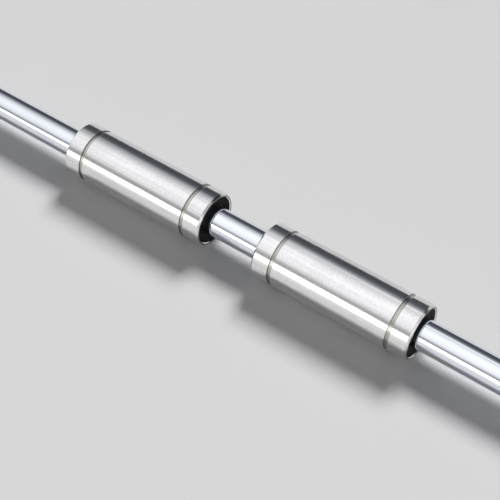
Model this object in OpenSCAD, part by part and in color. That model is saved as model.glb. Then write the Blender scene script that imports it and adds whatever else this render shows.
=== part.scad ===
// Two long linear ball bearings on one round shaft.
// X runs along the shaft, Z is up, and the origin is on the shaft's axis, midway along it.

/* [Shaft] */
// Shaft diameter
shaft_d = 8; // [6:0.25:8.5]
// Shaft length
shaft_len = 200; // [180:5:400]
// Chamfer on both ends of the shaft
shaft_chamfer = 0.5; // [0.2:0.1:1]
// Clear shaft between the two bearings
bearing_gap = 16.5; // [6:0.5:50]

/* [Sleeve] */
// Outer diameter of the sleeve
sleeve_d = 15; // [14.7:0.1:22]
// Length of one bearing
sleeve_len = 45; // [40:1:60]
// Chamfer on the outer edges of the sleeve
sleeve_chamfer = 0.5; // [0.3:0.1:0.8]
// Chamfer on the inner edges of the sleeve's mouths
mouth_chamfer = 0.2; // [0.1:0.05:0.3]
// Sleeve end to the outer edge of its circlip groove
groove_inset = 5; // [3:0.25:9]
// Width of a circlip groove
groove_w = 1.1; // [0.7:0.1:2]
// Depth of a circlip groove
groove_depth = 0.35; // [0.2:0.05:0.6]

/* [Balls] */
// Ball diameter
ball_d = 1.588; // [1.3:0.1:1.8]
// Distance between the loaded row and the return row of one circuit
turn_d = 2.9; // [2.7:0.1:3.3]
// How much farther from the axis the return row runs than the loaded row
return_lift = 0.68; // [0.6:0.02:0.9]
// Slope of the ramps that lift the balls off the shaft, in degrees
ramp_angle = 12; // [10:1:18]
// Width of the hardened land behind each loaded row
land_w = 2; // [1.6:0.1:2.6]
// How far each land ends short of the straight part of its row
land_inset = 0.5; // [0.3:0.1:1.5]
// Height over which the ends of a land slope down
land_slope = 0.6; // [0.3:0.1:1]

/* [Cages] */
// Plastic left beyond the turns at each end of a cage
cage_end = 0.8; // [0.5:0.1:2]
// Chamfer on the ends of the cages and of the spacer
cage_chamfer = 0.25; // [0.1:0.05:0.4]
// Length of the spacer between the two cages
spacer_len = 3.8; // [2:0.2:10]
// Wall thickness of the spacer
spacer_wall = 1.5; // [1.2:0.1:1.8]

/* [Seals and stop rings] */
// How far the seal's face lies inside the end of the sleeve
seal_inset = 0.4; // [0.2:0.1:1]
// Width of the seal along the shaft
seal_w = 1.8; // [1.6:0.1:3]
// Step from the flutes out to the seal's recess
recess_step = 0.15; // [0.1:0.05:0.3]
// Height of the bead that snaps the seal into the sleeve
bead_h = 0.12; // [0.08:0.02:0.2]
// Width of that bead
bead_w = 0.6; // [0.4:0.1:0.8]
// Width of the seal's rubber where it grips the sleeve, from outside to inside
seal_rim = 0.9; // [0.6:0.1:1.2]
// Thickness of the thin web between the seal's rim and lip
seal_web = 0.6; // [0.4:0.1:0.9]
// Width of the lip's edge on the shaft
lip_w = 0.25; // [0.15:0.05:0.4]
// Thickness of a stop ring along the shaft
ring_t = 0.7; // [0.5:0.1:1.2]
// Width of a stop ring across, from bore to rim
ring_w = 1.1; // [0.9:0.05:1.3]
// How deep a stop ring sits in its groove
ring_depth = 0.3; // [0.2:0.05:0.5]
// Opening of the split stop ring
ring_split = 3; // [1.5:0.5:6]

/* [Fits] */
// Gap of a ball to the shaft, to its land and to the flute
ball_gap = 0.016; // [0.01:0.002:0.04]
// Extra radius of a track round its balls
track_play = 0.04; // [0.02:0.01:0.08]
// Least gap between two balls of one circuit
ball_space = 0.03; // [0.02:0.01:0.2]
// Gap of the seal's lip to the shaft
lip_gap = 0.02; // [0.01:0.01:0.08]
// Gap of the cage's bore to the shaft
cage_bore_gap = 0.15; // [0.1:0.05:0.3]
// Gap of the cages and the spacer to the sleeve
cage_gap = 0.05; // [0.03:0.01:0.1]
// Gap at each face in the row of rings, cages and spacer
stack_gap = 0.05; // [0.02:0.01:0.1]
// Gap of the seals and stop rings to the sleeve
seat_gap = 0.02; // [0.01:0.01:0.05]

/* [Hidden] */
// Ball circuits in one cage, evenly spaced
circuits = 4;
// Small overlap that joins solids and clears cuts
eps = 0.2;

// Ball rows and tracks
shaft_r = shaft_d / 2;
ball_r = ball_d / 2;
load_r = shaft_r + ball_gap + ball_r;
return_r = load_r + return_lift;
turn_r = turn_d / 2;
track_r = ball_r + track_play;
row_slot_w = 2 * track_r - track_play;
turn_slot_w = 2 * track_r - track_play / 2;
ramp_foot_r = track_r + track_play / 2;

// Stack along the bearing, from its middle to its end
half_len = sleeve_len / 2;
seal_out_x = half_len - seal_inset;
seal_in_x = seal_out_x - seal_w;
bead_x = (seal_in_x + seal_out_x) / 2;
ring_groove_w = ring_t + 2 * stack_gap;
ring_in_x = seal_in_x - ring_groove_w;
ring_x = ring_in_x + stack_gap;
cage_out_x = ring_in_x - stack_gap;
cage_in_x = spacer_len / 2 + stack_gap;
cage_len = cage_out_x - cage_in_x;
cage_x = (cage_out_x + cage_in_x) / 2;
groove_out_x = half_len - groove_inset;
groove_in_x = groove_out_x - groove_w;
straight_len = cage_len - 2 * (cage_end + track_r + turn_r * cos(ramp_angle));
land_len = straight_len - 2 * land_inset;

// One circuit, seen along the shaft: its loaded row is at angle 0, and its return row is turned away from it
return_angle = acos((load_r * load_r + return_r * return_r - turn_d * turn_d) / (2 * load_r * return_r));
return_xy = [return_r * cos(return_angle), return_r * sin(return_angle)];
circuit_xy = ([load_r, 0] + return_xy) / 2;
circuit_angle = atan2(return_xy.y, return_xy.x - load_r) - 90;

// Radii inside the sleeve: the flutes clear the balls where the ramps lift them most
land_r = load_r + ball_r + ball_gap;
flute_r = max([for (a = [0 : 3 : 90]) from_axis(turn_point(a))]) + ball_r + ball_gap;
sleeve_r = sleeve_d / 2;
groove_r = sleeve_r - groove_depth;
recess_r = flute_r + recess_step;
ring_groove_r = recess_r + ring_depth;

// Cages, spacer, stop rings and seals across
cage_r = flute_r - cage_gap;
cage_bore_r = shaft_r + cage_bore_gap;
key_w = land_w + 2 * cage_gap;
key_x = sqrt(land_r * land_r - land_w * land_w / 4) - cage_gap;
ring_r = ring_groove_r - seat_gap;
ring_bore_r = ring_r - ring_w;
seal_r = recess_r - seat_gap;
lip_r = shaft_r + lip_gap;

// The balls are spread evenly over the circuit, no closer than their gap allows on the turns
ball_pitch = turn_d * asin((ball_d + ball_space) / turn_d) * PI / 180;
circuit_len = 2 * straight_len + PI * turn_d;
ball_count = floor(circuit_len / ball_pitch);

// The bearings' middles along the shaft
bearing_x = (bearing_gap + sleeve_len) / 2;

bearings = ["left", "right"];
ends = ["outer", "inner"];

$fn = 64;

// Points of a circuit: x is the height over its plane, y runs from the loaded to the return row,
// and z runs along the shaft
function turn_point(a) =
  let (reach = turn_r * sin(a))
  [reach * sin(ramp_angle), turn_r * cos(a), straight_len / 2 + reach * cos(ramp_angle)];
function flipped(p) = [p.x, -p.y, -p.z];
function half_circuit_point(s) =
  s < straight_len ? [0, turn_r, s - straight_len / 2] : turn_point((s - straight_len) / turn_r * 180 / PI);
function circuit_point(s) =
  s < circuit_len / 2 ? half_circuit_point(s) : flipped(half_circuit_point(s - circuit_len / 2));

function from_axis(p) =
  let (c = cos(circuit_angle), s = sin(circuit_angle))
  norm(circuit_xy + [p.x * c - p.y * s, p.x * s + p.y * c]);

module around() {
  for (c = [0 : circuits - 1])
    rotate(c * 360 / circuits)
      children();
}

// Moves a piece from the middle of a circuit to its place round the shaft
module in_circuit() {
  translate([circuit_xy.x, circuit_xy.y, 0])
    rotate(circuit_angle)
      children();
}

// Half of a track: the return row, and the ramped turn that brings the balls to the loaded row.
// Each has a round bed, and a slot from the bed outwards that is a little narrower than the bed.
module half_track() {
  translate([0, turn_r, -straight_len / 2]) {
    cylinder(r = track_r, h = straight_len);
    translate([0, -row_slot_w / 2, 0])
      cube([flute_r, row_slot_w, straight_len]);
  }
  for (side = [-1, 1])
    translate([0, side * turn_r, straight_len / 2])
      sphere(r = ramp_foot_r);
  translate([0, 0, straight_len / 2])
    rotate([0, ramp_angle, 0])
      rotate([90, 0, 90]) {
        rotate_extrude(angle = 180)
          translate([turn_r, 0])
            circle(r = track_r);
        rotate_extrude(angle = 180)
          translate([turn_r - turn_slot_w / 2, 0])
            square([turn_slot_w, flute_r]);
      }
}

module track() {
  half_track();
  rotate([180, 0, 0])
    half_track();
}

// A tube that keys into the sleeve: it has a flat where each hardened land has to pass
module keyed_tube(length, bore) {
  difference() {
    rotate_extrude()
      polygon([
        [bore, -length / 2],
        [cage_r - cage_chamfer, -length / 2],
        [cage_r, cage_chamfer - length / 2],
        [cage_r, length / 2 - cage_chamfer],
        [cage_r - cage_chamfer, length / 2],
        [bore, length / 2]
      ]);
    around()
      translate([key_x, -key_w / 2, -length / 2 - eps])
        cube([cage_r, key_w, length + 2 * eps]);
  }
}

// The steel behind one loaded row, sloped at both ends and ground to the balls' path
module land() {
  difference() {
    rotate([90, 0, 0])
      linear_extrude(land_w, center = true)
        polygon([
          [flute_r + eps, -land_len / 2],
          [flute_r, -land_len / 2],
          [land_r - eps, land_slope - land_len / 2],
          [land_r - eps, land_len / 2 - land_slope],
          [flute_r, land_len / 2],
          [flute_r + eps, land_len / 2]
        ]);
    cylinder(r = land_r, h = land_len + eps, center = true);
  }
}

// Outline of half the sleeve, from its middle to one end
function sleeve_half() = [
  [flute_r, ring_in_x],
  [ring_groove_r, ring_in_x],
  [ring_groove_r, seal_in_x],
  [recess_r, seal_in_x],
  [recess_r, bead_x - bead_w / 2],
  [recess_r + bead_h, bead_x - bead_w / 4],
  [recess_r + bead_h, bead_x + bead_w / 4],
  [recess_r, bead_x + bead_w / 2],
  [recess_r, half_len - mouth_chamfer],
  [recess_r + mouth_chamfer, half_len],
  [sleeve_r - sleeve_chamfer, half_len],
  [sleeve_r, half_len - sleeve_chamfer],
  [sleeve_r, groove_out_x],
  [groove_r, groove_out_x],
  [groove_r, groove_in_x],
  [sleeve_r, groove_in_x]
];
function mirrored(points) = [for (i = [len(points) - 1 : -1 : 0]) [points[i].x, -points[i].y]];

module sleeve() {
  color("silver") {
    rotate_extrude($fn = 128)
      polygon(concat(sleeve_half(), mirrored(sleeve_half())));
    for (side = [-1, 1])
      translate([0, 0, side * cage_x])
        around()
          land();
  }
}

module spacer() {
  color("dimgray")
    keyed_tube(spacer_len, cage_r - spacer_wall);
}

module cage() {
  color([0.08, 0.08, 0.09])
    difference() {
      keyed_tube(cage_len, cage_bore_r);
      around()
        in_circuit()
          track();
    }
}

module ball_circuit(number) {
  color([0.75, 0.76, 0.78])
    rotate((number - 1) * 360 / circuits)
      in_circuit()
        for (i = [0 : ball_count - 1])
          translate(circuit_point(i * circuit_len / ball_count))
            sphere(d = ball_d, $fn = 32);
}

// The rim grips the sleeve, and the web carries a lip that leans out against the shaft
module seal() {
  rim_bore = seal_r - seal_rim;
  color([0.05, 0.05, 0.05])
    rotate_extrude()
      polygon([
        [rim_bore, 0],
        [seal_r, 0],
        [seal_r, (seal_w - bead_w) / 2],
        [seal_r + bead_h, seal_w / 2 - bead_w / 4],
        [seal_r + bead_h, seal_w / 2 + bead_w / 4],
        [seal_r, (seal_w + bead_w) / 2],
        [seal_r, seal_w],
        [rim_bore, seal_w],
        [(rim_bore + lip_r) / 2, seal_w - seal_web / 2],
        [lip_r, seal_w - seal_web / 2],
        [lip_r, seal_w - seal_web / 2 - lip_w],
        [(rim_bore + lip_r) / 2, seal_w - seal_web * 3 / 2]
      ]);
}

module stop_ring() {
  color([0.45, 0.45, 0.47])
    difference() {
      cylinder(r = ring_r, h = ring_t, $fn = 128);
      translate([0, 0, -eps])
        cylinder(r = ring_bore_r, h = ring_t + 2 * eps, $fn = 96);
      translate([0, -ring_split / 2, -eps])
        cube([ring_r + eps, ring_split, ring_t + 2 * eps]);
    }
}

module shaft() {
  half = shaft_len / 2;
  color([0.86, 0.88, 0.91])
    rotate([0, 90, 0])
      rotate_extrude($fn = 128)
        polygon([
          [0, -half],
          [shaft_r - shaft_chamfer, -half],
          [shaft_r, shaft_chamfer - half],
          [shaft_r, half - shaft_chamfer],
          [shaft_r - shaft_chamfer, half],
          [0, half]
        ]);
}

// Stands a bearing in its place on the shaft, with its outer end away from the other one
module on_shaft(b) {
  rotate([0, 0, b == "left" ? 180 : 0])
    translate([bearing_x, 0, 0])
      rotate([0, 90, 0])
        children();
}

// Puts a piece at a distance from the bearing's middle, towards the end named
module at_end(e, distance) {
  rotate([e == "outer" ? 0 : 180, 0, 0])
    translate([0, 0, distance])
      children();
}

shaft();
for (b = bearings) {
  on_shaft(b) sleeve();
  on_shaft(b) spacer();
  for (e = ends) {
    place = str(b, "_", e);
    on_shaft(b) at_end(e, cage_x) cage();
    on_shaft(b) at_end(e, seal_in_x) seal();
    on_shaft(b) at_end(e, ring_x) stop_ring();
    for (c = [1 : circuits])
      on_shaft(b) at_end(e, cage_x) ball_circuit(c);
  }
}
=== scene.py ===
import math

import bmesh
import bpy
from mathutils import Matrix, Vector


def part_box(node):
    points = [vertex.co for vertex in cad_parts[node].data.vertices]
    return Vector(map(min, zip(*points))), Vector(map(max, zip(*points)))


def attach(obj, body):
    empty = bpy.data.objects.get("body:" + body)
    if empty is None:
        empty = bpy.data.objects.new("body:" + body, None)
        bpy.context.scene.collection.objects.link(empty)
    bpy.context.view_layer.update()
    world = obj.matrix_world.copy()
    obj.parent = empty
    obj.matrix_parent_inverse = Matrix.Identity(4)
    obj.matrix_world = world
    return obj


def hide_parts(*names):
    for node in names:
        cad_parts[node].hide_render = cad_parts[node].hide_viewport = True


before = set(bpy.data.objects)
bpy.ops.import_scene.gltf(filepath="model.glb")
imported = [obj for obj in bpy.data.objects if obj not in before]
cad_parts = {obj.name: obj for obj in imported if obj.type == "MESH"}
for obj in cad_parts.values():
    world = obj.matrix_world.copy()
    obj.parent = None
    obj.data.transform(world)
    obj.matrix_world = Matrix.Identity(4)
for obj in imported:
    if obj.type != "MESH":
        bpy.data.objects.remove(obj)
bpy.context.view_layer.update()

mm = 0.001
micron = 0.001 * mm


# A wire is one socket of a node tree, and sums written on wires add Math nodes
class Wire:
    def __init__(self, bench, socket):
        self.bench = bench
        self.socket = socket

    def math(self, operation, *others):
        return self.bench.add("ShaderNodeMath", {"operation": operation}, dict(enumerate((self, *others))))

    def reflected(self, operation, other):
        return self.bench.add("ShaderNodeMath", {"operation": operation}, {0: other, 1: self})

    def __add__(self, other):
        return self.math("ADD", other)

    def __radd__(self, other):
        return self.reflected("ADD", other)

    def __sub__(self, other):
        return self.math("SUBTRACT", other)

    def __rsub__(self, other):
        return self.reflected("SUBTRACT", other)

    def __mul__(self, other):
        return self.math("MULTIPLY", other)

    def __rmul__(self, other):
        return self.reflected("MULTIPLY", other)

    def __truediv__(self, other):
        return self.math("DIVIDE", other)

    def __rtruediv__(self, other):
        return self.reflected("DIVIDE", other)

    def __pow__(self, other):
        return self.math("POWER", other)

    def __neg__(self):
        return self.math("MULTIPLY", -1)

    def __abs__(self):
        return self.math("ABSOLUTE")

    def __gt__(self, other):
        return self.math("GREATER_THAN", other)

    def __lt__(self, other):
        return self.math("LESS_THAN", other)


def opaque(colour):
    return (*colour, 1) if isinstance(colour, tuple) else colour


# A bench is a node tree to work on, and add() puts any node on it
class Bench:
    def __init__(self, tree):
        self.tree = tree

    def add(self, kind, settings=None, inputs=None, output=0):
        node = self.tree.nodes.new(kind)
        for name, value in (settings or {}).items():
            if name == "stops":
                self.setStops(node.color_ramp, value)
            else:
                setattr(node, name, value)
        for key, value in (inputs or {}).items():
            if isinstance(value, (Wire, list)):      # a list of wires goes into one joining socket
                for wire in [value] if isinstance(value, Wire) else value:
                    self.tree.links.new(wire.socket, node.inputs[key])
            else:
                node.inputs[key].default_value = value
        if isinstance(output, (tuple, list)):
            return tuple(Wire(self, node.outputs[key]) for key in output)
        return Wire(self, node.outputs[output]) if len(node.outputs) else node

    def setStops(self, ramp, stops):
        while len(ramp.elements) < len(stops):
            ramp.elements.new(1)
        for element, (place, shade) in zip(ramp.elements, stops):
            element.position = place
            element.color = opaque(shade if isinstance(shade, tuple) else (shade, shade, shade))

    def between(self, value, low, high, toLow=0.0, toHigh=1.0):
        return self.add("ShaderNodeMapRange", {"interpolation_type": "SMOOTHSTEP"}, {
            "Value": value, "From Min": low, "From Max": high, "To Min": toLow, "To Max": toHigh})

    def blend(self, factor, first, second):      # 6 and 7 are the Mix node's colours, and 2 is their mixture
        return self.add("ShaderNodeMix", {"data_type": "RGBA"}, {
            0: factor, 6: opaque(first), 7: opaque(second)}, output=2)


# Camera, at the place that explains both bearings in the photograph
cameraSettings = {
    "place": (120.8 * mm, -160.9 * mm, 223.5 * mm),
    "turn": -36.24,      # degrees from +Y towards -X
    "tilt": 48.76,       # degrees below the horizon
    "lens": 85.25,
    "sensor": 36,
    "nearest": 5 * mm,
    "farthest": 50,
}


def makeCamera(settings):
    turn = math.radians(settings["turn"])
    tilt = math.radians(settings["tilt"])
    look = Vector((math.sin(turn) * math.cos(tilt), math.cos(turn) * math.cos(tilt), -math.sin(tilt)))
    data = bpy.data.cameras.new("studioCamera")
    data.lens = settings["lens"]
    data.sensor_width = settings["sensor"]
    data.clip_start = settings["nearest"]
    data.clip_end = settings["farthest"]
    camera = bpy.data.objects.new("studioCamera", data)
    camera.location = settings["place"]
    camera.rotation_euler = look.to_track_quat("-Z", "Y").to_euler()
    bpy.context.scene.collection.objects.link(camera)
    bpy.context.scene.camera = camera


makeCamera(cameraSettings)
bpy.context.scene.view_settings.view_transform = "Standard"
print("camera set")


# Finishes: each sums a few noises, by weight, for its colour, its roughness and its relief
def newFinish(name):
    material = bpy.data.materials.new(name)
    material.use_nodes = True
    material.node_tree.nodes.clear()
    return material, Bench(material.node_tree)


def placeOn(bench):
    return bench.add("ShaderNodeTexCoord", output="Object")


def finishWith(bench, sockets):
    shader = bench.add("ShaderNodeBsdfPrincipled", inputs=sockets)
    bench.add("ShaderNodeOutputMaterial", inputs={"Surface": shader})


def noisesOn(bench, place, looks):
    noises = {}
    for name, (scale, detail, stretch) in looks.items():
        stretched = bench.add("ShaderNodeMapping", inputs={"Vector": place, "Scale": stretch})
        noises[name] = bench.add("ShaderNodeTexNoise", inputs={
            "Vector": stretched, "Scale": scale, "Detail": detail}, output="Fac")
    return noises


def weighed(noises, weights):
    parts = [noises[name] * weight for name, weight in weights.items()]
    whole = parts[0]
    for part in parts[1:]:
        whole = whole + part
    return whole


def reliefOf(bench, height, depth):
    return bench.add("ShaderNodeBump", inputs={"Strength": 1.0, "Distance": depth, "Height": height})


def within(wire, low, high):
    return (wire > low) * (wire < high)


even = (1, 1, 1)                     # a noise that isn't stretched
noiseRange = (0.35, 0.65)            # where most of a noise's values lie

sleeveFinish = {
    "ground": (0.90, 0.895, 0.895),
    "groundShade": (0.785, 0.78, 0.785),
    "turned": (0.495, 0.50, 0.455),          # floors of the circlip grooves
    "wallPaintedShade": (0.34, 0.34, 0.32),              # their walls: turned steel, darkened further as painted shade for the dark line at a groove's edge
    "darkPaintedEnds": (0.22, 0.217, 0.213),           # end faces, darkened as a painted dark reflection
    "roughness": (0.13, 0.19),
    "turnedRoughness": 0.26,
    "noises": {                              # scale, detail and stretch
        "rings": (60, 4, (38, 1, 1)),        # wheel marks run round the sleeve
        "grain": (1900, 2, even),
        "cloud": (120, 3, even),
        "streaks": (1500, 3, (0.03, 1, 1)),      # faint streaks along the sleeve
    },
    "shading": {"rings": 0.12, "cloud": 0.2, "streaks": 0.38, "grain": 0.3},
    "shadingRange": (0.39, 0.61),
    "satin": {"rings": 0.4, "grain": 0.3, "cloud": 0.3},
    "relief": {"rings": 0.35, "grain": 0.4, "streaks": 0.6},
    "bump": 0.55 * micron,
    "groove": (16.35 * mm, 17.55 * mm),      # from the middle of the bearing, as the next two
    "grooveFloor": (16.50 * mm, 17.40 * mm),
    "end": 22.47 * mm,
    "outside": 7.45 * mm,
    "wallTop": 0.05 * mm,                    # depth over which a groove's wall takes its painted shade
}


def makeSleeveFinish(settings):
    material, bench = newFinish("groundBearingSteel")
    place = placeOn(bench)
    x, y, z = bench.add("ShaderNodeSeparateXYZ", inputs={0: place}, output=("X", "Y", "Z"))
    radius = (y * y + z * z) ** 0.5
    low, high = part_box("right_sleeve")       # the left sleeve is its mirror image
    fromMiddle = abs(abs(x) - (low.x + high.x) / 2)
    inset = bench.between(radius, settings["outside"] - settings["wallTop"], settings["outside"], 1.0, 0.0)
    groove = within(fromMiddle, *settings["groove"]) * inset
    grooveFloor = within(fromMiddle, *settings["grooveFloor"]) * inset
    darkPaintedEnds = fromMiddle > settings["end"]
    noises = noisesOn(bench, place, settings["noises"])
    shading = bench.between(weighed(noises, settings["shading"]), *settings["shadingRange"])
    colour = bench.blend(shading, settings["ground"], settings["groundShade"])
    # groove walls are darkened past their turned steel as painted shade
    colour = bench.blend(groove, colour, settings["wallPaintedShade"])
    colour = bench.blend(grooveFloor, colour, settings["turned"])
    # end faces take a painted dark reflection in place of their steel colour
    colour = bench.blend(darkPaintedEnds, colour, settings["darkPaintedEnds"])
    satin = bench.between(weighed(noises, settings["satin"]), *noiseRange, *settings["roughness"])
    other = groove.math("MAXIMUM", darkPaintedEnds)
    roughness = satin * (1 - other) + other * settings["turnedRoughness"]
    normal = reliefOf(bench, weighed(noises, settings["relief"]), settings["bump"])
    finishWith(bench, {"Base Color": colour, "Metallic": 1.0, "Roughness": roughness, "Normal": normal})
    return material


shaftFinish = {
    "chrome": (0.885, 0.92, 0.975),
    "chromeShade": (0.855, 0.89, 0.945),
    "roughness": (0.05, 0.10),
    "noises": {"rings": (80, 3, (30, 1, 1)), "cloud": (70, 3, even)},
    "polish": {"rings": 0.6, "cloud": 0.4},
    "bump": 0.12 * micron,
}


def makeShaftFinish(settings):
    material, bench = newFinish("hardChrome")
    noises = noisesOn(bench, placeOn(bench), settings["noises"])
    cloud = bench.between(noises["cloud"], *noiseRange)
    colour = bench.blend(cloud, settings["chrome"], settings["chromeShade"])
    roughness = bench.between(weighed(noises, settings["polish"]), *noiseRange, *settings["roughness"])
    normal = reliefOf(bench, noises["rings"], settings["bump"])
    finishWith(bench, {"Base Color": colour, "Metallic": 1.0, "Roughness": roughness, "Normal": normal})
    return material


# Rubber, plastics and the small steel pieces share one recipe: a mottled colour, sheen and fine relief
plainRecipe = {
    "coarseDetail": 4,
    "fineDetail": 2,
    "finer": 3,              # how many times finer the fine noise is than the coarse one
    "sheen": {"coarse": 0.5, "fine": 0.5},
    "relief": {"coarse": 1.0, "fine": 0.4},
}
plainFinishes = {
    "sealRubber": {
        "colour": (0.003, 0.003, 0.0035), "shade": (0.006, 0.006, 0.007), "metallic": 0.0,
        "roughness": (0.50, 0.68), "specular": 0.08, "scale": 900, "bump": 3 * micron},
    "cagePlastic": {
        "colour": (0.014, 0.014, 0.015), "shade": (0.024, 0.024, 0.026), "metallic": 0.0,
        "roughness": (0.30, 0.45), "specular": 0.5, "scale": 700, "bump": 1.5 * micron},
    "spacerPlastic": {
        "colour": (0.045, 0.045, 0.047), "shade": (0.065, 0.065, 0.068), "metallic": 0.0,
        "roughness": (0.32, 0.48), "specular": 0.5, "scale": 700, "bump": 1.5 * micron},
    "ringSteel": {
        "colour": (0.46, 0.45, 0.44), "shade": (0.34, 0.34, 0.35), "metallic": 1.0,
        "roughness": (0.25, 0.42), "specular": 0.5, "scale": 1400, "bump": 1 * micron},
    "ballSteel": {
        "colour": (0.72, 0.73, 0.75), "shade": (0.66, 0.67, 0.70), "metallic": 1.0,
        "roughness": (0.04, 0.09), "specular": 0.5, "scale": 2600, "bump": 0.1 * micron},
}


def makePlainFinish(name, settings, recipe):
    material, bench = newFinish(name)
    noises = noisesOn(bench, placeOn(bench), {
        "coarse": (settings["scale"], recipe["coarseDetail"], even),
        "fine": (settings["scale"] * recipe["finer"], recipe["fineDetail"], even)})
    mottle = bench.between(noises["coarse"], *noiseRange)
    colour = bench.blend(mottle, settings["colour"], settings["shade"])
    roughness = bench.between(weighed(noises, recipe["sheen"]), *noiseRange, *settings["roughness"])
    normal = reliefOf(bench, weighed(noises, recipe["relief"]), settings["bump"])
    finishWith(bench, {"Base Color": colour, "Metallic": settings["metallic"], "Roughness": roughness,
                       "Specular IOR Level": settings["specular"], "Normal": normal})
    return material


finishes = {name: makePlainFinish(name, settings, plainRecipe) for name, settings in plainFinishes.items()}
finishes["groundSteel"] = makeSleeveFinish(sleeveFinish)
finishes["hardChrome"] = makeShaftFinish(shaftFinish)
print("finishes made:", len(finishes))


# Turned pieces: an outline, x along the shaft and y out from it, is carried round the shaft's axis.
# Outlines are in millimetres, and each corner is (x, y, radius of its rounded edge)
edgeSettings = {
    "steps": 3,              # lengths that a rounded edge is made of
    "support": 0.04,         # keeps the wall beside a rounded edge flat
    "mostOfWall": 0.4,       # share of a wall that one rounded edge may take
    "supported": 0.45,       # share of a wall within which its support still fits
}


def softened(corners, closed, settings=edgeSettings):
    outline = []
    count = len(corners)
    for k, (x, r, radius) in enumerate(corners):
        here = Vector((x, r))
        if radius == 0 or (not closed and k in (0, count - 1)):
            outline.append(here)
            continue
        back = Vector(corners[k - 1][:2]) - here
        ahead = Vector(corners[(k + 1) % count][:2]) - here
        half = back.angle(ahead) / 2
        room = settings["mostOfWall"] * min(back.length, ahead.length)
        reach = min(radius / math.tan(half), room)
        arc = reach * math.tan(half)
        centre = here + (back.normalized() + ahead.normalized()).normalized() * (arc / math.sin(half))
        start = here + back.normalized() * reach - centre
        end = here + ahead.normalized() * reach - centre
        sweep = math.pi - 2 * half
        side = 1 if start.x * end.y - start.y * end.x > 0 else -1
        supported = reach + settings["support"]
        if supported < settings["supported"] * back.length:
            outline.append(here + back.normalized() * supported)
        for i in range(settings["steps"] + 1):
            a = side * sweep * i / settings["steps"]
            turned = Vector((start.x * math.cos(a) - start.y * math.sin(a),
                             start.x * math.sin(a) + start.y * math.cos(a)))
            outline.append(centre + turned)
        if supported < settings["supported"] * ahead.length:
            outline.append(here + ahead.normalized() * supported)
    if closed:
        outline.append(outline[0].copy())
    return outline


mergeDistance = 0.0005 * mm


def newTree(name, inputs):
    tree = bpy.data.node_groups.new(name, "GeometryNodeTree")
    tree.interface.new_socket("Geometry", in_out="INPUT", socket_type="NodeSocketGeometry")
    for label, kind in inputs:
        tree.interface.new_socket(label, in_out="INPUT", socket_type=kind)
    tree.interface.new_socket("Geometry", in_out="OUTPUT", socket_type="NodeSocketGeometry")
    bench = Bench(tree)
    names = ["Geometry"] + [label for label, kind in inputs]
    given = dict(zip(names, bench.add("NodeGroupInput", output=names)))
    return tree, bench, given


# A sheet of one row for each point of the outline, rolled up round the axis
def turnedOutline(bench, given):
    steps = given["Segments"]
    points = bench.add("GeometryNodeAttributeDomainSize", {"component": "MESH"}, {
        0: given["Geometry"]}, "Point Count")
    last = points - 1
    sheet = bench.add("GeometryNodeMeshGrid", inputs={
        "Size X": last, "Size Y": steps, "Vertices X": points, "Vertices Y": steps + 1}, output="Mesh")
    place = bench.add("GeometryNodeInputPosition")
    u, v = bench.add("ShaderNodeSeparateXYZ", inputs={0: place}, output=("X", "Y"))
    nearest = (u + last / 2).math("ROUND")
    turn = (v / steps + 0.5) * math.tau
    onOutline = bench.add("GeometryNodeSampleIndex", {"data_type": "FLOAT_VECTOR"}, {
        "Geometry": given["Geometry"], "Value": place, "Index": nearest})
    along, out = bench.add("ShaderNodeSeparateXYZ", inputs={0: onOutline}, output=("X", "Y"))
    rolled = bench.add("ShaderNodeCombineXYZ", inputs={
        0: along, 1: out * turn.math("COSINE"), 2: out * turn.math("SINE")})
    moved = bench.add("GeometryNodeSetPosition", inputs={"Geometry": sheet, "Position": rolled})
    return bench.add("GeometryNodeMergeByDistance", inputs={"Geometry": moved, "Distance": mergeDistance})


def endTree(bench, geometry, given):
    smooth = bench.add("GeometryNodeSetShadeSmooth", inputs={"Geometry": geometry})
    whole = bench.add("GeometryNodeRealizeInstances", inputs={"Geometry": smooth})
    finished = bench.add("GeometryNodeSetMaterial", inputs={"Geometry": whole, "Material": given["Material"]})
    bench.add("NodeGroupOutput", inputs={0: finished})


def makeTurnTree():
    tree, bench, given = newTree("turnedPiece", [
        ("Segments", "NodeSocketInt"), ("Material", "NodeSocketMaterial")])
    endTree(bench, turnedOutline(bench, given), given)
    return tree


# One hardened land, at the top of the bore: a strip that rises out of the flute and slopes at both ends
def landSolid(bench, given):
    sheet = bench.add("GeometryNodeMeshGrid", inputs={
        "Size X": given["Land Length"], "Size Y": given["Land Width"],
        "Vertices X": given["Points Along"], "Vertices Y": given["Points Across"]}, output="Mesh")
    place = bench.add("GeometryNodeInputPosition")
    along, across = bench.add("ShaderNodeSeparateXYZ", inputs={0: place}, output=("X", "Y"))
    risen = ((given["Land Length"] / 2 - abs(along)) / given["Land Slope"]).math("MINIMUM", 1.0)
    radius = given["Flute Radius"] + (given["Land Radius"] - given["Flute Radius"]) * risen
    height = (radius * radius - across * across) ** 0.5
    bent = bench.add("ShaderNodeCombineXYZ", inputs={0: along, 1: across, 2: height})
    raised = bench.add("GeometryNodeSetPosition", inputs={"Geometry": sheet, "Position": bent})
    outward = bench.add("ShaderNodeCombineXYZ", inputs={0: 0.0, 1: 0.0, 2: given["Land Depth"]})
    solid = bench.add("GeometryNodeExtrudeMesh", {"mode": "FACES"}, {
        "Mesh": raised, "Offset": outward, "Offset Scale": 1.0, "Individual": False}, "Mesh")
    under = bench.add("GeometryNodeFlipFaces", inputs={0: raised})
    closed = bench.add("GeometryNodeJoinGeometry", inputs={0: [solid, under]})
    return bench.add("GeometryNodeMergeByDistance", inputs={"Geometry": closed, "Distance": mergeDistance})


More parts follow.
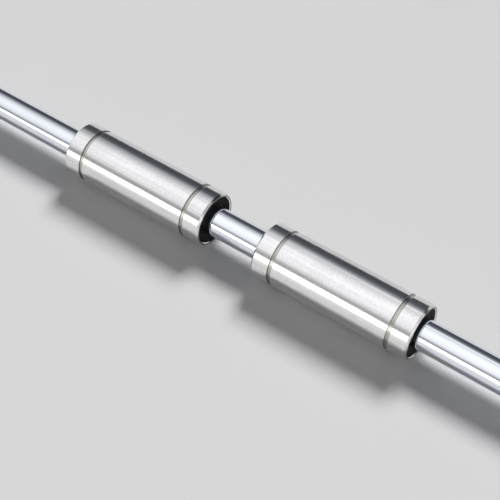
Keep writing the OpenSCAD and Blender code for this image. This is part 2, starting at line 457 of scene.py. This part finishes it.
# The sleeve has a hardened land behind each loaded row of balls, four round each of its two cages
def makeSleeveTree():
    tree, bench, given = newTree("sleeveWithLands", [
        ("Segments", "NodeSocketInt"), ("Material", "NodeSocketMaterial"),
        ("Middle", "NodeSocketFloat"), ("Cage Middle", "NodeSocketFloat"),
        ("Land Length", "NodeSocketFloat"), ("Land Width", "NodeSocketFloat"),
        ("Land Radius", "NodeSocketFloat"), ("Flute Radius", "NodeSocketFloat"),
        ("Land Slope", "NodeSocketFloat"), ("Land Depth", "NodeSocketFloat"),
        ("Points Along", "NodeSocketInt"), ("Points Across", "NodeSocketInt"),
        ("Lands Round", "NodeSocketInt")])
    row = bench.add("GeometryNodeMeshLine", {"mode": "OFFSET"}, {"Count": given["Lands Round"] * 2}, "Mesh")
    number = bench.add("GeometryNodeInputIndex")
    far = number > given["Lands Round"] - 0.5      # the second half of the row goes to the far cage
    side = given["Middle"] + (far * 2 - 1) * given["Cage Middle"]
    stand = bench.add("ShaderNodeCombineXYZ", inputs={0: side, 1: 0.0, 2: 0.0})
    stood = bench.add("GeometryNodeSetPosition", inputs={"Geometry": row, "Position": stand})
    turn = bench.add("ShaderNodeCombineXYZ", inputs={
        0: number / given["Lands Round"] * math.tau, 1: 0.0, 2: 0.0})
    lands = bench.add("GeometryNodeInstanceOnPoints", inputs={
        "Points": stood, "Instance": landSolid(bench, given), "Rotation": turn})
    joined = bench.add("GeometryNodeJoinGeometry", inputs={0: [turnedOutline(bench, given), lands]})
    endTree(bench, joined, given)
    return tree


turnTree = makeTurnTree()
sleeveTree = makeSleeveTree()


def turnPiece(name, tree, outline, shift, values):
    points = [((p.x + shift) * mm, p.y * mm, 0) for p in outline]
    mesh = bpy.data.meshes.new(name + "Outline")
    mesh.from_pydata(points, [(i, i + 1) for i in range(len(points) - 1)], [])
    helper = bpy.data.objects.new(name + "Outline", mesh)
    bpy.context.scene.collection.objects.link(helper)
    modifier = helper.modifiers.new("turn", "NODES")
    modifier.node_group = tree
    for item in tree.interface.items_tree:
        if item.in_out == "INPUT" and item.name in values:
            modifier[item.identifier] = values[item.name]
    bpy.context.view_layer.update()
    turned = bpy.data.meshes.new_from_object(helper.evaluated_get(bpy.context.evaluated_depsgraph_get()))
    bpy.data.objects.remove(helper)      # and the modifier with it
    shell = bmesh.new()
    shell.from_mesh(turned)
    bmesh.ops.recalc_face_normals(shell, faces=shell.faces)
    openEdges = sum(1 for edge in shell.edges if not edge.is_manifold)
    shell.to_mesh(turned)
    shell.free()
    turned.name = name
    piece = bpy.data.objects.new(name, turned)
    bpy.context.scene.collection.objects.link(piece)
    print(name, "has", len(turned.polygons), "faces,", openEdges, "open edges")
    return piece


# Shaft
shaftSettings = {"radius": 4.0, "half": 100.0, "chamfer": 0.5, "edge": 0.08, "segments": 160}


def makeShaft(settings):
    r, half, c, e = (settings[key] for key in ("radius", "half", "chamfer", "edge"))
    corners = [
        (-half, 0, 0), (-half, r - c, e), (c - half, r, e),
        (half - c, r, e), (half, r - c, e), (half, 0, 0),
    ]
    piece = turnPiece("turnedShaft", turnTree, softened(corners, closed=False), 0, {
        "Segments": settings["segments"], "Material": finishes["hardChrome"]})
    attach(piece, "shaft")
    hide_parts("shaft")


makeShaft(shaftSettings)

# Sleeves, in millimetres from the middle of the bearing
sleeveSettings = {
    "radius": 7.5, "half": 22.5, "chamfer": 0.5, "mouth": 0.2,
    "grooveRadius": 7.15, "grooveOut": 17.5, "grooveIn": 16.4,
    "flute": 6.35, "recess": 6.50, "ringGroove": 6.80, "ringIn": 19.5, "sealIn": 20.3,
    "beadRadius": 6.62, "bead": (20.9, 21.05, 21.35, 21.5),
    "edge": 0.06, "innerEdge": 0.03, "segments": 192,
}
landSettings = {
    "Cage Middle": 10.7 * mm, "Land Length": 10.395 * mm, "Land Width": 2 * mm, "Land Radius": 5.62 * mm,
    "Flute Radius": 6.35 * mm, "Land Slope": 0.6 * mm, "Land Depth": 0.4 * mm, "Lands Round": 4,
    "Points Along": 41, "Points Across": 9,
}


def halfSleeve(s):
    outside, grooveFloor, recess, beadTop = s["radius"], s["grooveRadius"], s["recess"], s["beadRadius"]
    inside = [
        (s["ringIn"], s["flute"]), (s["ringIn"], s["ringGroove"]),
        (s["sealIn"], s["ringGroove"]), (s["sealIn"], recess),
        (s["bead"][0], recess), (s["bead"][1], beadTop), (s["bead"][2], beadTop), (s["bead"][3], recess),
        (s["half"] - s["mouth"], recess), (s["half"], recess + s["mouth"]),
    ]
    outer = [
        (s["half"], outside - s["chamfer"]), (s["half"] - s["chamfer"], outside),
        (s["grooveOut"], outside), (s["grooveOut"], grooveFloor),
        (s["grooveIn"], grooveFloor), (s["grooveIn"], outside),
    ]
    return [(x, r, s["innerEdge"]) for x, r in inside] + [(x, r, s["edge"]) for x, r in outer]


def makeSleeve(side, settings):
    low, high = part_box(side + "_sleeve")
    middle = (low.x + high.x) / 2
    half = halfSleeve(settings)
    outline = softened(half + [(-x, r, e) for x, r, e in reversed(half)], closed=True)
    piece = turnPiece(side + "SleeveGround", sleeveTree, outline, middle / mm, {
        "Segments": settings["segments"], "Material": finishes["groundSteel"],
        "Middle": middle, **landSettings})
    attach(piece, side + "_bearing")
    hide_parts(side + "_sleeve")


# Seals: a rim that grips the sleeve, and a web that leans out to a lip on the shaft
sealSettings = {
    "width": 1.8, "rimBore": 5.58, "radius": 6.48, "bead": 0.12, "beadWidth": 0.6,
    "web": 0.6, "lip": 4.02, "lipWidth": 0.25,
    "edge": 0.1, "beadEdge": 0.03, "webEdge": 0.2, "lipEdge": 0.04, "segments": 128,
}


def makeSeal(side, end, settings):
    s = settings
    low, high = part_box(side + "_" + end + "_seal")
    outwards = 1 if (side == "right") == (end == "outer") else -1
    base = (low.x if outwards > 0 else high.x) / mm
    w, b, edge, beadEdge = (s[key] for key in ("width", "beadWidth", "edge", "beadEdge"))
    beadTop = s["radius"] + s["bead"]
    webMiddle = (s["rimBore"] + s["lip"]) / 2
    webFace = w - s["web"] / 2
    corners = [
        (0, s["rimBore"], edge), (0, s["radius"], edge),
        ((w - b) / 2, s["radius"], beadEdge), (w / 2 - b / 4, beadTop, beadEdge),
        (w / 2 + b / 4, beadTop, beadEdge), ((w + b) / 2, s["radius"], beadEdge),
        (w, s["radius"], edge), (w, s["rimBore"], s["webEdge"]),
        (webFace, webMiddle, s["webEdge"]), (webFace, s["lip"], s["lipEdge"]),
        (webFace - s["lipWidth"], s["lip"], s["lipEdge"]), (w - s["web"] * 3 / 2, webMiddle, s["webEdge"]),
    ]
    outline = softened([(outwards * x, r, radius) for x, r, radius in corners], closed=True)
    piece = turnPiece(side + end.capitalize() + "SealMoulded", turnTree, outline, base, {
        "Segments": s["segments"], "Material": finishes["sealRubber"]})
    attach(piece, side + "_bearing")
    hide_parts(side + "_" + end + "_seal")


for side in ("left", "right"):
    makeSleeve(side, sleeveSettings)
    for end in ("outer", "inner"):
        makeSeal(side, end, sealSettings)
print("turned pieces made")

# Pieces inside the sleeves keep their own shapes and get their finishes
innerFinishes = {
    "_cage": "cagePlastic", "_spacer": "spacerPlastic", "_stop_ring": "ringSteel", "_balls_": "ballSteel",
}
for nodeName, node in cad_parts.items():
    for part, finish in innerFinishes.items():
        if part in nodeName:
            node.material_slots[0].material = finishes[finish]
print("inner pieces finished")

# Floor, just under the sleeves
floorSettings = {
    "level": -7.52 * mm, "half": 20.0, "colour": (0.68, 0.68, 0.685), "roughness": 0.5, "gloss": 0.2,
}


def makeFloor(settings):
    h = settings["half"]
    level = settings["level"]
    mesh = bpy.data.meshes.new("studioFloor")
    mesh.from_pydata([(-h, -h, level), (h, -h, level), (h, h, level), (-h, h, level)], [], [(0, 1, 2, 3)])
    floor = bpy.data.objects.new("studioFloor", mesh)
    bpy.context.scene.collection.objects.link(floor)
    material, bench = newFinish("paleFloor")
    finishWith(bench, {"Base Color": opaque(settings["colour"]), "Roughness": settings["roughness"],
                       "Specular IOR Level": settings["gloss"]})
    mesh.materials.append(material)


makeFloor(floorSettings)

# Light tent: a half round over the shaft, whose glow goes by the angle from its front (0) to its back (1)
tentSettings = {
    "radius": 8.0, "from": -14.0, "to": 10.0, "steps": 90,
    "glow": [
        (0.0, (2.40, 2.39, 2.25)), (0.100, (2.40, 2.39, 2.25)),      # bright strip in front
        (0.117, 0.22), (0.16, 0.38), (0.25, (0.94, 0.94, 0.96)),
        (0.42, (1.12, 1.12, 1.14)), (0.54, (1.02, 1.02, 1.04)),      # roof
        (0.60, (0.80, 0.80, 0.82)), (0.66, (0.57, 0.58, 0.60)), (0.72, (0.35, 0.36, 0.38)),
        (0.78, (0.095, 0.10, 0.115)), (0.955, (0.045, 0.05, 0.06)),      # dark back
        (0.975, 0.68), (1.0, 0.72),                                  # its foot is as pale as the floor
    ],
    "stripTop": 0.12,      # angle up to which the front strip reaches
    "left": {"full": -2.75, "dim": -7.6, "strip": 0.50, "rest": 0.88},      # where it dims, and to what
    "right": {"full": 1.5, "dim": 5.0, "all": 0.40},
    "streak": {"x": (-3.57, -1.9), "angle": (0.63, 0.66, 0.70), "glow": 1.05},      # in the right sleeve
    "cap": {"depth": 1 * mm, "split": (3.2, 3.8), "below": (0.95, 0.95, 0.95), "above": (0.45, 0.45, 0.46)},
}


def tentMesh(settings):
    r = settings["radius"]
    points, faces = [], []
    for i in range(settings["steps"] + 1):
        a = math.pi * i / settings["steps"]
        for x in (settings["from"], settings["to"]):
            points.append((x, -r * math.cos(a), r * math.sin(a) + floorSettings["level"]))
        if i:
            faces.append((2 * i - 2, 2 * i - 1, 2 * i + 1, 2 * i))
    faces.append([2 * i + 1 for i in range(settings["steps"] + 1)])      # the cap closes its right end
    mesh = bpy.data.meshes.new("lightTent")
    mesh.from_pydata(points, [], faces)
    return mesh


def tentGlow(settings):
    material, bench = newFinish("tentGlow")
    x, y, z = bench.add("ShaderNodeSeparateXYZ", inputs={0: placeOn(bench)}, output=("X", "Y", "Z"))
    angle = z.math("ARCTAN2", -y) / math.pi
    glow = bench.add("ShaderNodeValToRGB", {"stops": settings["glow"]}, {"Fac": angle})
    left, right, streak, cap = (settings[key] for key in ("left", "right", "streak", "cap"))
    leftLevel = left["strip"] + (angle > settings["stripTop"]) * (left["rest"] - left["strip"])
    dimmer = (bench.between(x, left["dim"], left["full"], leftLevel, 1)
              * bench.between(x, right["full"], right["dim"], 1, right["all"]))
    start, peak, stop = streak["angle"]
    across = bench.between(angle, start, peak) * bench.between(angle, peak, stop, 1, 0)
    strength = dimmer + bench.between(x, *streak["x"]) * across * streak["glow"]
    onCap = x > settings["to"] - cap["depth"]
    capColour = bench.blend(bench.between(z, *cap["split"]), cap["below"], cap["above"])
    light = bench.add("ShaderNodeEmission", inputs={
        "Color": bench.blend(onCap, glow, capColour), "Strength": strength + onCap * (1 - strength)})
    bench.add("ShaderNodeOutputMaterial", inputs={"Surface": light})
    return material


def makeTent(settings):
    mesh = tentMesh(settings)
    mesh.materials.append(tentGlow(settings))
    tent = bpy.data.objects.new("lightTent", mesh)
    bpy.context.scene.collection.objects.link(tent)
    tent.visible_camera = False
    tent.visible_diffuse = False      # it shows in the metal, and the key and the air light the rest
    tent.visible_shadow = False


makeTent(tentSettings)

# Key light from behind and above, far off and soft, so that the shadow falls towards the viewer
keySettings = {"from": (-0.05, 0.46, 0.50), "spread": 21, "strength": 3.3}


def makeKey(settings):
    data = bpy.data.lights.new("keyLight", "SUN")
    data.angle = math.radians(settings["spread"])
    data.energy = settings["strength"]
    key = bpy.data.objects.new("keyLight", data)
    key.location = settings["from"]
    key.rotation_euler = (-Vector(settings["from"])).to_track_quat("-Z", "Y").to_euler()
    key.visible_glossy = False      # the tent alone shows in the metal
    bpy.context.scene.collection.objects.link(key)


makeKey(keySettings)

# Air: a pale background for the camera and the metal, and a soft fill for everything else
airSettings = {"colour": (0.72, 0.72, 0.725), "fill": (0.21, 0.21, 0.214)}


def makeAir(settings):
    world = bpy.data.worlds.new("studioAir")
    world.use_nodes = True
    world.node_tree.nodes.clear()
    bench = Bench(world.node_tree)
    seen, mirrored, through = bench.add("ShaderNodeLightPath", output=(
        "Is Camera Ray", "Is Glossy Ray", "Is Transmission Ray"))
    shown = (seen + mirrored + through).math("MINIMUM", 1.0)
    air = bench.add("ShaderNodeBackground", inputs={
        "Color": bench.blend(shown, settings["fill"], settings["colour"])})
    bench.add("ShaderNodeOutputWorld", inputs={"Surface": air})
    bpy.context.scene.world = world


makeAir(airSettings)
print("floor and lights made")
